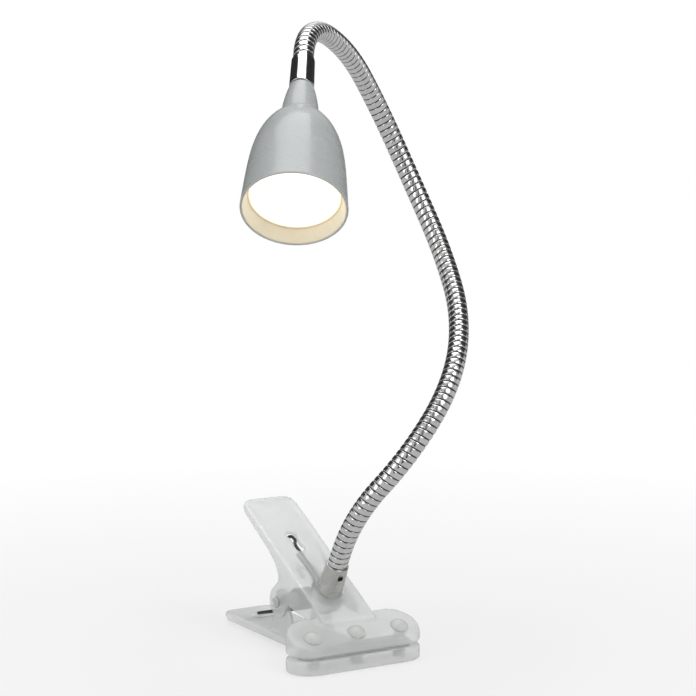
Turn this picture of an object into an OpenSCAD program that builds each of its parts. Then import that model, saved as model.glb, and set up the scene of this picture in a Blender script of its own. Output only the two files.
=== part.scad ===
// Clip-on reading lamp: a spring clamp with two jaws, a flexible metal neck and a bell-shaped LED head.
// Frame: origin under the middle of the lower jaw's bar, X along the jaws, Y back to the levers, Z up.

/* [Clamp jaws] */
// Length of the jaw bars along X
bar_len = 79; // [64:1:100]
// Depth of the jaw bars, front to back
bar_depth = 23; // [20:1:28]
// Height of the lower jaw's bar
lower_bar_h = 8; // [7:0.5:10]
// Height of the upper jaw's bar at its back edge, above the floor
upper_bar_top = 24.5; // [22:0.5:28]
// Thickness of each gripping pad
pad_t = 2; // [1.5:0.25:3]
// How far each pad stands out of its bar
pad_proud = 0.5; // [0.3:0.1:0.8]
// Clearance between the closed pads
pad_gap = 0.3; // [0.2:0.05:0.5]
// Number of plugs that hold each pad in its bar
plug_count = 3; // [2:1:4]
// Distance from the pad's ends to the outer plugs
plug_inset = 7; // [5:0.5:12]
// Radius of a plug's stem
plug_r = 3.2; // [2.5:0.1:4]
// Radius of a plug's domed head
dome_r = 5.4; // [4.5:0.1:6]

/* [Clamp levers] */
// Width of both levers
lever_w = 32; // [28:1:40]
// Thickness of the lever plates
plate_t = 3; // [2.5:0.25:4]
// Thickness of the side walls and hinge ears
ear_t = 2.4; // [2:0.1:3]
// Rear end of the lower lever, behind the bar's middle
lower_tip_y = 117; // [105:1:125]
// Height of the lower lever's plate
lower_lever_h = 6.4; // [5.5:0.1:8]
// Slope of the upper lever
lever_angle = 29; // [24:1:34]
// Distance from the neck's foot to the upper lever's tip, along the slope
upper_tip_u = 79; // [70:1:84]
// Distance from the neck's foot to the middle of the hanging slot
slot_u = 41; // [38:1:46]
// Radius of the hanging slot's two round ends
slot_r = 3; // [2.6:0.1:3.5]

/* [Hinge] */
// Hinge axis behind the neck's foot
hinge_back = 28.8; // [25:0.1:33]
// Hinge axis above the floor
hinge_z = 24.4; // [22:0.2:27]
// Radius of the hinge pin
pin_r = 2; // [1.5:0.1:2.6]
// Radius of the ears around the hinge
ear_r = 8.7; // [7.5:0.1:10]
// Diameter of the spring wire
wire_d = 1.8; // [1.4:0.1:2]
// Turns in each of the spring's two coils
coil_turns = 3; // [2:1:4]

/* [Neck] */
// Outer diameter of the flexible hose
hose_d = 10.8; // [9:0.1:12]
// Wall of the hose
hose_wall = 0.8; // [0.6:0.1:1]
// Length of hose that bends as one link
link_len = 44; // [38:1:48]
// Foot of the neck behind the back edge of the bars
foot_back = 13.2; // [11:0.1:16]
// Foot of the neck above the back edge of the upper bar
foot_rise = 11; // [9:0.1:13]
// Straight length of hose between the lever and the first bend
straight_len = 27; // [24:0.5:32]
// Height of the lower ferrule
ferrule_h = 17.5; // [14:0.5:22]
// Radius of the lower ferrule at its foot
ferrule_foot_r = 7; // [6.5:0.1:8]
// Wall of the lower ferrule at its mouth
ferrule_wall = 0.6; // [0.5:0.1:1]

/* [Head] */
// Straight length of hose between the last bend and the chrome ferrule
cap_z = 5.2; // [2:0.2:8]
// Length of the chrome ferrule above the shade
cap_len = 18; // [14:0.5:22]
// Length of the shade's tapered collar
collar_len = 21.5; // [18:0.5:26]
// Length of the bell
bell_len = 62.3; // [54:0.1:74]
// Radius of the bell where it meets the collar
bell_top_r = 9.8; // [8.5:0.1:10.5]
// How much the bell's round shoulder adds to its radius
bell_rise = 11.9; // [11:0.1:15]
// How quickly the shoulder rounds over
bell_power = 4.8; // [2.5:0.1:6]
// How much the bell's straight flare adds to its radius
bell_flare = 4.7; // [2:0.1:6]
// Wall of the bell
shade_wall = 1.4; // [1:0.1:2]
// Depth of the diffuser inside the rim
lens_depth = 8.4; // [6:0.2:12]
// Number of light-emitting chips
chip_count = 8; // [4:1:12]

/* [Fits] */
// Radial clearance of pins and stems in their bores
fit = 0.05; // [0.03:0.01:0.08]
// Clearance between faces that slide past each other
side_gap = 0.3; // [0.2:0.05:0.5]

/* [Hidden] */
$fn = 64;
eps = 0.01;
big = 200;

// how the neck is bent as it stands: each link's bend, and the turn of its plane before it
BENDS = [31, 29, 29, 20, 21, 20, 39, 26, 66];
TURNS = [-1, 66, 15, 49, 45, 17, -4, -29, 16];

frosted = [0.86, 0.88, 0.88, 0.8];
silicone = [0.9, 0.91, 0.9, 0.85];
chrome = [0.78, 0.79, 0.8];
nickel = [0.66, 0.65, 0.62];
steel = [0.6, 0.61, 0.63];
dark_steel = [0.16, 0.16, 0.17];
warm_grey = [0.7, 0.71, 0.69];
cream = [0.95, 0.92, 0.84];

bar_r = bar_depth / 2;
foot_y = bar_r + foot_back;
foot_z = upper_bar_top + foot_rise;
hinge_y = foot_y + hinge_back;
pad_len = bar_len - 12;
plug_pitch = (pad_len - 2 * plug_inset) / max(plug_count - 1, 1);
pad_depth = bar_depth - 8;
pad_z = lower_bar_h + pad_proud;
upper_pad_z = pad_z + pad_gap;
upper_bar_z = upper_pad_z + pad_proud;
bar_slope = 25;
plug_y = -3;
dome_sink = 2.6;
plate_front_u = -25;
tip_r = 6;
slot_half = 5.4;
slot_neck = 4;
upper_ear_x = lever_w / 2 - ear_t;
lower_ear_x = upper_ear_x - side_gap - ear_t;
lower_ear_r = 7.2;
rear_slot_y = lower_tip_y - 20.5;
rim_bottom = 2;
rim_top = lower_lever_h - plate_t + 0.6;
heel_w = 10;
heel_inset = 9;
rear_slot_d = 6;
// the hinge axis in the upper lever's own sloped frame: u up the slope, w square to it
hinge_u = (hinge_y - foot_y) * cos(lever_angle) + (hinge_z - foot_z) * sin(lever_angle);
hinge_w = (hinge_z - foot_z) * cos(lever_angle) - (hinge_y - foot_y) * sin(lever_angle);

coil_r = 5.2;
coil_pitch = wire_d - 0.15;
leg_x = wire_d / 2 + 0.15;
coil_end_x = leg_x + (coil_turns - 1) * coil_pitch;
rear_slot_w = 2 * coil_end_x + wire_d + 2.5;
bush_r = coil_r - wire_d / 2 - 0.1;
upper_leg_x = wire_d / 2 + 0.4;
leg_w = -plate_t - wire_d / 2 - 0.1;
leg_front_u = hinge_u - coil_r - wire_d - 0.3;
leg_end_u = slot_u + 8;

hose_r = hose_d / 2;
stub_r = hose_r - 0.08;
ball_r = hose_r - 0.1;
ball_wall = 0.8;
socket_r = ball_r + 0.25;
ball_exit_r = ball_r - 0.9;
core_r = hose_r - 2.4;
core_bore_r = core_r - 0.8;
lead_r = core_bore_r - 0.3;
joint_w = straight_len;
stem_r = 4.6;
stem_bore_r = 3;
boss_r = ferrule_foot_r + 2.5;
boss_below = 6;
washer_t = 1;
nut_t = 3.2;
nut_r = stem_r + 3.5;
stem_len = boss_below + washer_t + nut_t + 1.5;
recess_depth = 0.6;
grub_w = 12;
grub_r = 1.5;

cap_lip = 1.2;
nipple_r = 3.1;
nipple_bore_r = 2.3;
nipple_z = cap_z + 9;
collar_z = cap_z + cap_len;
bell_z = collar_z + collar_len;
rim_z = bell_z + bell_len;
rim_r = bell_top_r + bell_rise + bell_flare;
bell_top_t = 2.4;
lens_z = rim_z - lens_depth;
lens_t = 1.8;
board_t = 1.6;
board_z = lens_z - 12;
sink_t = 6;
sink_z = board_z - sink_t;
cup_t = 1;

function bell_r(z) =
    let (t = (z - bell_z) / bell_len)
    bell_top_r + bell_rise * (1 - pow(1 - t, bell_power)) + bell_flare * t;
function bell_in_r(z) = bell_r(z) - shade_wall;

// ---- placing ----

module on_lever() {
    translate([0, foot_y, foot_z]) rotate([lever_angle, 0, 0]) children();
}

module along_x(length) {
    translate([-length / 2, 0, 0]) rotate([90, 0, 90]) linear_extrude(length) children();
}

module both_sides() {
    children();
    mirror([1, 0, 0]) children();
}

// moves from the start of one hose link to its end
module past_link(i) {
    radius = link_len * 180 / PI / BENDS[i];
    rotate([0, 0, TURNS[i]])
        translate([radius * (1 - cos(BENDS[i])), 0, radius * sin(BENDS[i])])
            rotate([0, BENDS[i], 0]) children();
}

module at_link(i) {
    if (i == 0) on_lever() translate([0, 0, joint_w]) children();
    else at_link(i - 1) past_link(i - 1) children();
}

module on_head() {
    at_link(len(BENDS)) children();
}

// a round bar bent through one link, from its start plane
module bent_bar(i, r) {
    radius = link_len * 180 / PI / BENDS[i];
    rotate([0, 0, TURNS[i]]) translate([radius, 0, 0]) rotate([90, 0, 180])
        rotate_extrude(angle = BENDS[i], $fn = 96) translate([radius, 0]) circle(r = r, $fn = 48);
}

// a straight twelve-sided length of wire
module rod(from, to, r) {
    span = to - from;
    length = norm(span);
    translate(from) rotate([0, acos(span[2] / length), atan2(span[1], span[0])])
        cylinder(r = r, h = length, $fn = 12);
}

// ---- clamp shapes ----

module stadium(length, depth, h) {
    linear_extrude(h) union() {
        square([length - depth, depth], center = true);
        for (side = [-1, 1]) translate([side * (length - depth) / 2, 0]) circle(d = depth);
    }
}

module plugs_at() {
    for (i = [0 : plug_count - 1])
        translate([(i - (plug_count - 1) / 2) * plug_pitch, plug_y, 0]) children();
}

// everything above the sloping top of the upper bar
module above_bar() {
    translate([0, bar_r, upper_bar_top]) rotate([bar_slope, 0, 0])
        translate([-big / 2, -big / 2, 0]) cube([big, big, big / 2]);
}

module rounded_tip_plate(from, to, w, t, r) {
    translate([-w / 2, from, 0]) cube([w, to - from - r, t]);
    translate([-w / 2 + r, to - r - eps, 0]) cube([w - 2 * r, r + eps, t]);
    for (side = [-1, 1]) translate([side * (w / 2 - r), to - r, 0]) cylinder(r = r, h = t);
}

module slot_outline() {
    for (side = [-1, 1]) translate([0, slot_u + side * slot_half]) circle(r = slot_r);
    translate([-slot_neck / 2, slot_u - slot_half]) square([slot_neck, 2 * slot_half]);
}

module pin_bore(r) {
    translate([0, hinge_y, hinge_z]) rotate([0, 90, 0]) cylinder(r = r, h = big, center = true);
}

module lower_jaw() {
    color(frosted) difference() {
        union() {
            stadium(bar_len, bar_depth, lower_bar_h);
            translate([0, 0, lower_lever_h - plate_t])
                rounded_tip_plate(0, lower_tip_y, lever_w, plate_t, tip_r);
            // rim under the lever
            both_sides() translate([lever_w / 2 - ear_t, 0, rim_bottom])
                cube([ear_t, lower_tip_y - tip_r, rim_top - rim_bottom]);
            translate([-lever_w / 2 + tip_r, lower_tip_y - ear_t, rim_bottom])
                cube([lever_w - 2 * tip_r, ear_t, rim_top - rim_bottom]);
            // heel that the lever's end stands on
            translate([-heel_w / 2, lower_tip_y - heel_inset, 0]) cube([heel_w, ear_t, rim_top]);
            // hinge ears
            both_sides() translate([lower_ear_x, 0, 0]) {
                translate([0, hinge_y, hinge_z]) rotate([0, 90, 0]) cylinder(r = lower_ear_r, h = ear_t);
                translate([0, 0, 0]) rotate([90, 0, 90]) linear_extrude(ear_t)
                    polygon([[hinge_y - 13, lower_lever_h - 1], [hinge_y + 13, lower_lever_h - 1],
                        [hinge_y + lower_ear_r - 0.6, hinge_z], [hinge_y - lower_ear_r + 0.6, hinge_z]]);
            }
        }
        // pad seat and plug holes
        translate([0, 0, pad_z - pad_t]) stadium(pad_len, pad_depth, pad_t);
        plugs_at() translate([0, 0, 2]) cylinder(r = plug_r + fit, h = lower_bar_h);
        // slot that the spring's end hooks into
        translate([-rear_slot_w / 2, rear_slot_y - rear_slot_d / 2, 0]) cube([rear_slot_w, rear_slot_d, big]);
        pin_bore(pin_r + fit);
    }
}

module lower_pad() {
    color(silicone) union() {
        translate([0, 0, pad_z - pad_t]) stadium(pad_len - 0.2, pad_depth - 0.2, pad_t);
        plugs_at() translate([0, 0, 2]) cylinder(r = plug_r, h = pad_z - pad_t - 2 + eps);
    }
}

module upper_jaw() {
    color(frosted) difference() {
        union() {
            // bar
            difference() {
                translate([0, 0, upper_bar_z]) stadium(bar_len, bar_depth, upper_bar_top);
                above_bar();
            }
            // lever plate with its boss
            on_lever() {
                translate([0, 0, -plate_t]) rounded_tip_plate(plate_front_u, upper_tip_u, lever_w, plate_t, tip_r);
                // web between the plate and the bar
                translate([-lever_w / 2, plate_front_u + 3, -plate_t - 4]) cube([lever_w, 10, plate_t + 3]);
                translate([0, 0, -boss_below]) cylinder(r = boss_r, h = boss_below);
                // side walls, deepest at the hinge
                both_sides() translate([upper_ear_x, 0, 0]) {
                    rotate([90, 0, 90]) linear_extrude(ear_t) polygon([[-19, -1], [upper_tip_u - tip_r, -1],
                        [upper_tip_u - tip_r, -4], [hinge_u + 22.2, -5], [hinge_u + 13.2, -6.4],
                        [hinge_u + 7.2, -9.5], [hinge_u + 5.2, -12.5], [hinge_u + ear_r - 1.2, hinge_w + 4],
                        [hinge_u - ear_r + 0.2, hinge_w], [hinge_u - 9.8, hinge_w + 5.7],
                        [2, hinge_w + 7.7], [-12, -10]]);
                    translate([0, hinge_u, hinge_w]) rotate([0, 90, 0]) cylinder(r = ear_r, h = ear_t);
                }
            }
        }
        // pad seat and plug holes
        translate([0, 0, upper_pad_z]) stadium(pad_len, pad_depth, pad_t);
        plugs_at() translate([0, 0, upper_pad_z]) cylinder(r = plug_r + fit, h = big);
        on_lever() {
            translate([0, 0, -big / 2]) cylinder(r = stem_r + fit, h = big);
            translate([0, 0, -recess_depth]) cylinder(r = ferrule_foot_r + 0.4, h = big);
            translate([0, 0, -plate_t - 3]) linear_extrude(big) slot_outline();
        }
        pin_bore(pin_r + fit);
    }
}

module upper_pad() {
    color(silicone) union() {
        translate([0, 0, upper_pad_z]) stadium(pad_len - 0.2, pad_depth - 0.2, pad_t);
        // plugs through the bar, with domed heads on its sloping top
        plugs_at() difference() {
            translate([0, 0, upper_pad_z + pad_t - eps]) cylinder(r = plug_r, h = upper_bar_top);
            translate([0, -plug_y, 0]) above_bar();
        }
        for (i = [0 : plug_count - 1]) intersection() {
            translate([(i - (plug_count - 1) / 2) * plug_pitch, bar_r, upper_bar_top])
                rotate([bar_slope, 0, 0])
                    translate([0, (plug_y - bar_r) / cos(bar_slope), -dome_sink])
                        sphere(r = sqrt(dome_r * dome_r + dome_sink * dome_sink));
            above_bar();
        }
    }
}

// ---- hinge and spring ----

module hinge_pin() {
    color(steel) translate([0, hinge_y, hinge_z]) rotate([0, 90, 0])
        cylinder(r = pin_r, h = lever_w + 1.6, center = true);
}

module pin_caps() {
    color(frosted) both_sides() translate([lever_w / 2 + 0.1, hinge_y, hinge_z]) rotate([0, 90, 0])
        difference() {
            cylinder(r = pin_r + 1, h = 1.5);
            translate([0, 0, -eps]) cylinder(r = pin_r, h = 0.7 + eps);
        }
}

module spring_bush() {
    color(silicone) translate([0, hinge_y, hinge_z]) rotate([0, 90, 0]) difference() {
        cylinder(r = bush_r, h = 2 * lower_ear_x - 0.4, center = true);
        cylinder(r = pin_r + fit, h = big, center = true);
    }
}

// both coils, with the wide lower leg whose end hooks into the lower lever's slot
module spring_coil() {
    wire_r = wire_d / 2;
    end_z = lower_lever_h + wire_r + 0.4;
    reach = [rear_slot_y - hinge_y, end_z - hinge_z];
    // the leg leaves the underside of the coil as a tangent
    tangent = atan2(reach[1], reach[0]) - acos(coil_r / norm(reach));
    start = [hinge_y + coil_r * cos(tangent), hinge_z + coil_r * sin(tangent)];
    color(dark_steel) {
        both_sides() translate([0, hinge_y, hinge_z]) rotate([90, 0, 90]) rotate_extrude()
            for (i = [0 : coil_turns - 1])
                translate([coil_r, leg_x + i * coil_pitch]) rotate(15) circle(r = wire_r, $fn = 12);
        both_sides() rod([coil_end_x, start[0], start[1]], [coil_end_x, rear_slot_y, end_z], wire_r);
        rod([-coil_end_x - wire_r, rear_slot_y, end_z], [coil_end_x + wire_r, rear_slot_y, end_z], wire_r);
    }
}

// the two upper legs, side by side under the upper lever
module spring_leg() {
    wire_r = wire_d / 2;
    color(dark_steel) on_lever() both_sides() {
        rod([upper_leg_x, leg_front_u, hinge_w + 2], [upper_leg_x, leg_front_u, leg_w], wire_r);
        rod([upper_leg_x, leg_front_u - wire_r, leg_w], [upper_leg_x, leg_end_u, leg_w], wire_r);
    }
}

// ---- foot of the neck ----

module base_ferrule() {
    color(nickel) on_lever() difference() {
        union() {
            translate([0, 0, -recess_depth])
                cylinder(r1 = ferrule_foot_r, r2 = hose_r + fit + ferrule_wall, h = ferrule_h + recess_depth);
            translate([0, 0, -stem_len]) cylinder(r = stem_r, h = stem_len + 3);
        }
        translate([0, 0, 5]) cylinder(r = hose_r + fit, h = ferrule_h);
        translate([0, 0, -stem_len - 1]) cylinder(r = stem_bore_r, h = stem_len + 10);
        translate([0, 0, grub_w]) rotate([90, 0, 0]) cylinder(r = grub_r + fit, h = 12);
    }
}

module set_screw() {
    color(dark_steel) on_lever() translate([0, 0, grub_w]) rotate([90, 0, 0]) difference() {
        translate([0, 0, hose_r + 0.1]) cylinder(r = grub_r, h = 0.8);
        translate([0, 0, hose_r + 0.5]) cylinder(r = 0.8, h = 2, $fn = 6);
    }
}

module lock_washer() {
    color(steel) on_lever() translate([0, 0, -boss_below - washer_t]) difference() {
        cylinder(r = boss_r - 0.5, h = washer_t);
        translate([0, 0, -1]) cylinder(r = stem_r + fit, h = 4);
    }
}

module neck_nut() {
    color(steel) on_lever() translate([0, 0, -boss_below - washer_t - nut_t]) difference() {
        cylinder(r = nut_r, h = nut_t, $fn = 6);
        translate([0, 0, -1]) cylinder(r = stem_r + fit, h = nut_t + 2);
    }
}

module cord_grommet() {
    color(dark_steel) on_lever() difference() {
        union() {
            translate([0, 0, -stem_len]) cylinder(r = stem_bore_r, h = 8);
            translate([0, 0, -stem_len - 2]) cylinder(r = stem_r, h = 2);
        }
        translate([0, 0, -stem_len - 3]) cylinder(r = lead_r + 0.3, h = 14);
    }
}

// ---- neck ----

// what a link's lower end is cut back to, so that it can turn on the ball below it
module socket_cut() {
    sphere(r = socket_r);
}

module ball_outside() {
    sphere(r = ball_r);
}

module ball_inside() {
    sphere(r = ball_r - ball_wall);
    cylinder(r = ball_exit_r, h = 2 * ball_r);
}

module neck_hose(i) {
    color(chrome) {
        if (i == 0) on_lever() difference() {
            union() {
                translate([0, 0, 6]) cylinder(r = hose_r, h = joint_w - 6);
                translate([0, 0, joint_w]) ball_outside();
            }
            translate([0, 0, 5]) cylinder(r = hose_r - hose_wall, h = joint_w - 5);
            translate([0, 0, joint_w]) ball_inside();
        }
        if (i > 0) at_link(i - 1) difference() {
            union() {
                bent_bar(i - 1, hose_r);
                if (i < len(BENDS)) past_link(i - 1) ball_outside();
                // the last link ends in a straight stub inside the head's ferrule
                if (i == len(BENDS)) past_link(i - 1) translate([0, 0, -0.6]) cylinder(r = stub_r, h = cap_z + 6.6);
            }
            bent_bar(i - 1, hose_r - hose_wall);
            if (i < len(BENDS)) past_link(i - 1) ball_inside();
            if (i == len(BENDS)) past_link(i - 1) translate([0, 0, -0.6])
                cylinder(r = stub_r - hose_wall, h = cap_z + 8);
            socket_cut();
        }
    }
}

// keeps the ends of what runs through the hose clear of the next link
module end_cuts(i) {
    if (i > 0) at_link(i - 1) sphere(r = core_r + 0.4);
    if (i < len(BENDS)) at_link(i) translate([0, 0, -0.4]) cylinder(r = 2 * core_r, h = 6);
}

module run_through(i, r) {
    if (i == 0) on_lever() translate([0, 0, 7]) cylinder(r = r, h = joint_w - 7);
    if (i > 0) at_link(i - 1) bent_bar(i - 1, r);
}

// the stay-put spring inside the hose
module neck_core(i) {
    color(steel) difference() {
        run_through(i, core_r);
        run_through(i, core_bore_r);
        end_cuts(i);
    }
}

// the lead to the light, inside the stay-put spring
module neck_lead(i) {
    color(cream) difference() {
        run_through(i, lead_r);
        end_cuts(i);
    }
}

// ---- head ----

module head_ferrule() {
    color(chrome) on_head() translate([0, 0, cap_z]) difference() {
        cylinder(r1 = hose_r + fit + 0.6, r2 = hose_r + fit + 0.9, h = cap_len + cap_lip);
        translate([0, 0, -1]) cylinder(r = hose_r + fit, h = 8);
        translate([0, 0, 6]) cylinder(r = nipple_r + fit, h = cap_len);
        translate([0, 0, cap_len]) cylinder(r = hose_r + fit, h = 2 * cap_lip);
    }
}

module head_nipple() {
    color(steel) on_head() difference() {
        translate([0, 0, nipple_z]) cylinder(r = nipple_r, h = bell_z + bell_top_t + 5 - nipple_z);
        translate([0, 0, nipple_z - 1]) cylinder(r = nipple_bore_r, h = bell_z + 10);
    }
}

module shade_collar() {
    waist = collar_z + collar_len * 0.55;
    color(warm_grey) on_head() rotate_extrude($fn = 96) polygon([
        [nipple_r + fit, collar_z], [hose_r, collar_z], [hose_r, collar_z + cap_lip],
        [hose_r + 0.7, collar_z + cap_lip], [hose_r + 1.6, collar_z + 4], [bell_top_r - 1.3, waist],
        [bell_top_r - 0.5, bell_z - 5], [bell_top_r - 0.2, bell_z], [bell_top_r - 2.6, bell_z],
        [6.4, bell_z - 5], [5.6, waist], [nipple_r + fit, waist - 1.6]]);
}

module shade() {
    steps = 16;
    outside = [for (i = [0 : steps]) let (z = bell_z + bell_len * pow(i / steps, 1.4)) [bell_r(z), z]];
    inside = [for (i = [steps : -1 : 2]) let (z = bell_z + bell_len * pow(i / steps, 1.4)) [bell_in_r(z), z]];
    ledge = bell_z + bell_top_t;
    color(warm_grey) on_head() rotate_extrude($fn = 96)
        polygon(concat([[nipple_r + fit, bell_z]], outside, inside,
            [[bell_in_r(ledge), ledge], [nipple_r + fit, ledge]]));
}

module shade_nut() {
    color(steel) on_head() translate([0, 0, bell_z + bell_top_t]) difference() {
        cylinder(r = 6, h = 3, $fn = 6);
        translate([0, 0, -1]) cylinder(r = nipple_r + fit, h = 5);
    }
}

module heat_sink() {
    fin_count = 10;
    sink_r = bell_in_r(sink_z) - 0.3;
    color("silver") on_head() difference() {
        union() {
            translate([0, 0, sink_z]) cylinder(r = sink_r, h = sink_t);
            for (i = [0 : fin_count - 1]) rotate([0, 0, i * 360 / fin_count])
                translate([6, -0.6, sink_z - 8]) cube([9, 1.2, 8 + eps]);
        }
        translate([0, 0, sink_z - 10]) cylinder(r = 3, h = 30);
        screws_at() translate([0, 0, sink_z]) cylinder(r = 1.25 + fit, h = 20);
    }
}

module screws_at() {
    for (side = [0, 180]) rotate([0, 0, side]) translate([15.5, 0, 0]) children();
}

module led_board() {
    color("ivory") on_head() difference() {
        translate([0, 0, board_z]) cylinder(r = bell_in_r(sink_z) - 1, h = board_t);
        translate([0, 0, board_z - 1]) cylinder(r = 2.4, h = 5);
        screws_at() translate([0, 0, board_z - 1]) cylinder(r = 1.25 + fit, h = 5);
    }
}

module led_chips() {
    color("gold") on_head() for (i = [0 : chip_count - 1]) rotate([0, 0, (i + 0.5) * 360 / chip_count])
        translate([8.6, -1.4, board_z + board_t]) cube([2.8, 2.8, 0.8]);
}

module board_screws() {
    color(steel) on_head() screws_at() difference() {
        union() {
            translate([0, 0, board_z - 4]) cylinder(r = 1.25, h = 4 + board_t + eps);
            translate([0, 0, board_z + board_t]) cylinder(r = 2.3, h = 1.5);
        }
        translate([-1.6, -0.3, board_z + board_t + 0.9]) cube([3.2, 0.6, 2]);
        translate([-0.3, -1.6, board_z + board_t + 0.9]) cube([0.6, 3.2, 2]);
    }
}

// white cup that lines the bell below the board and holds the diffuser on its step
module reflector() {
    cup_z = board_z + board_t;
    cup_top = rim_z - 0.8;
    foot_r = bell_in_r(cup_z) - 0.3;
    mouth_r = bell_in_r(cup_top) - 0.25;
    step_r = foot_r + (mouth_r - foot_r) * (lens_z - cup_z) / (cup_top - cup_z);
    color(cream) on_head() rotate_extrude($fn = 96) polygon([
        [foot_r - 3, cup_z], [foot_r, cup_z], [mouth_r, cup_top], [mouth_r - cup_t, cup_top],
        [step_r - cup_t, lens_z], [step_r - cup_t, lens_z - lens_t], [step_r - cup_t - 1.4, lens_z - lens_t],
        [step_r - cup_t - 1.4, lens_z - lens_t - 1], [foot_r - cup_t - 1, cup_z + 1], [foot_r - 3, cup_z + 1]]);
}

module diffuser() {
    cup_z = board_z + board_t;
    foot_r = bell_in_r(cup_z) - 0.3;
    mouth_r = bell_in_r(rim_z - 0.8) - 0.25;
    step_r = foot_r + (mouth_r - foot_r) * (lens_z - cup_z) / (rim_z - 0.8 - cup_z);
    color("white") on_head() translate([0, 0, lens_z - lens_t]) cylinder(r = step_r - cup_t - 0.1, h = lens_t);
}

module led_leads() {
    color("white") on_head() both_sides()
        translate([1.05, 0, bell_z + 2]) cylinder(r = 0.8, h = board_z - bell_z - 2, $fn = 24);
}

lower_jaw();
lower_pad();
hinge_pin();
pin_caps();
spring_bush();
spring_coil();
upper_jaw();
upper_pad();
spring_leg();
base_ferrule();
set_screw();
lock_washer();
neck_nut();
cord_grommet();
for (i = [0 : len(BENDS)]) {
    neck_hose(i);
    neck_core(i);
    neck_lead(i);
}
head_ferrule();
head_nipple();
shade_collar();
shade();
shade_nut();
heat_sink();
led_board();
led_chips();
board_screws();
reflector();
diffuser();
led_leads();
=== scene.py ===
import math

import bpy
import numpy as np
from mathutils import Matrix, Vector


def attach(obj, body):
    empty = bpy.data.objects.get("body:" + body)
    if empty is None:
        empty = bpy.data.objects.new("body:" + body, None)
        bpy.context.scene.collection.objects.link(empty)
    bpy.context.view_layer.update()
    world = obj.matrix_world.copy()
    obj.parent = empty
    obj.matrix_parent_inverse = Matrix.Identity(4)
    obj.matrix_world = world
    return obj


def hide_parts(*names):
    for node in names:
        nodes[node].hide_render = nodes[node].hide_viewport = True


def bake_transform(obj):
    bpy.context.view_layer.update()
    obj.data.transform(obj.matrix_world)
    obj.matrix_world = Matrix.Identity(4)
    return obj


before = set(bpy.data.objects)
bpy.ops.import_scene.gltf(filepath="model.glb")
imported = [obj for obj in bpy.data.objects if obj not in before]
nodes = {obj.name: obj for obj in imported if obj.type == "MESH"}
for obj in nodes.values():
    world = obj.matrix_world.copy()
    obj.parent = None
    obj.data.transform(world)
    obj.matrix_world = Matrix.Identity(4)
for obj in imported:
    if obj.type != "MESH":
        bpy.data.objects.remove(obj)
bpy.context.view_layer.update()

# ---------------------------------------------------------------- sizes as in the CAD
# in millimetres and degrees
BENDS = (31, 29, 29, 20, 21, 20, 39, 26, 66)  # how far each hose link bends
TURNS = (-1, 66, 15, 49, 45, 17, -4, -29, 16)  # how far its plane turns from the link before
LINK = 44.0  # length of a hose link
LEVER_ANGLE = 29.0  # slope of the upper lever
FOOT = (0.0, 24.7, 35.5)  # where the neck stands on the upper lever
FERRULE_H = 17.5
JOINT_W = 27.0  # from the neck's foot to its first pivot
HOSE_R = 5.4
PITCH = 3.6  # of the hose's winding
HINGE = (0.0, 53.5, 24.4)
LEVER_W = 32.0
WIRE_R = 0.9  # spring wire
COIL_R = 5.2
CAP_Z, CAP_LEN, COLLAR_LEN, BELL_LEN = 5.2, 18.0, 21.5, 62.3
BELL_Z = CAP_Z + CAP_LEN + COLLAR_LEN
RIM_Z = BELL_Z + BELL_LEN
LENS_Z = RIM_Z - 8.4
BOARD_Z = LENS_Z - 12.0
BELL_TOP_R, BELL_RISE, BELL_FLARE, BELL_SHOULDER = 9.8, 11.9, 4.7, 4.8
BORE_R = 3.16  # of what sits on the nipple in the head


def bell_r(z):
    """The bell's outer radius at height z."""
    t = (z - BELL_Z) / BELL_LEN
    return BELL_TOP_R + BELL_RISE * (1 - max(0.0, 1 - t) ** BELL_SHOULDER) + BELL_FLARE * t


def turn(degrees, axis):
    return Matrix.Rotation(math.radians(degrees), 4, axis)


def shift(x, y, z):
    return Matrix.Translation((x, y, z))


IDENTITY = Matrix.Identity(4)
LEVER = shift(*FOOT) @ turn(LEVER_ANGLE, "X")
LINKS = []  # start of each link in its own plane, and the sum of the turns so far
HEAD, HEAD_TURNED = LEVER @ shift(0, 0, JOINT_W), 0
for bend, twist in zip(BENDS, TURNS):
    HEAD_TURNED += twist
    start = HEAD @ turn(twist, "Z")
    LINKS.append((start, HEAD_TURNED))
    b = math.radians(bend)
    radius = LINK / b
    HEAD = start @ shift(radius * (1 - math.cos(b)), 0, radius * math.sin(b)) @ turn(bend, "Y")


def neck_frame(s):
    """The hose's frame at s millimetres from its foot, without twist from link to link."""
    if s <= JOINT_W:
        return LEVER @ shift(0, 0, s)
    i = int((s - JOINT_W) // LINK)
    if i >= len(BENDS):
        return HEAD @ shift(0, 0, s - JOINT_W - LINK * len(BENDS)) @ turn(-HEAD_TURNED, "Z")
    start, so_far = LINKS[i]
    radius = LINK / math.radians(BENDS[i])
    a = (s - JOINT_W - LINK * i) / radius
    return (start @ shift(radius * (1 - math.cos(a)), 0, radius * math.sin(a))
            @ turn(math.degrees(a), "Y") @ turn(-so_far, "Z"))


# ---------------------------------------------------------------- mesh helpers
def add_object(name, verts, faces, place=IDENTITY, smooth=True):
    """verts in millimetres, put in place and turned into metres."""
    v = np.asarray(verts, float)
    m = np.array(place, float)
    v = (v @ m[:3, :3].T + m[:3, 3]) * 0.001
    mesh = bpy.data.meshes.new(name)
    mesh.from_pydata(v.tolist(), [], faces)
    mesh.update()
    if smooth:
        mesh.shade_smooth()
    ob = bpy.data.objects.new(name, mesh)
    bpy.context.scene.collection.objects.link(ob)
    return ob


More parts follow.
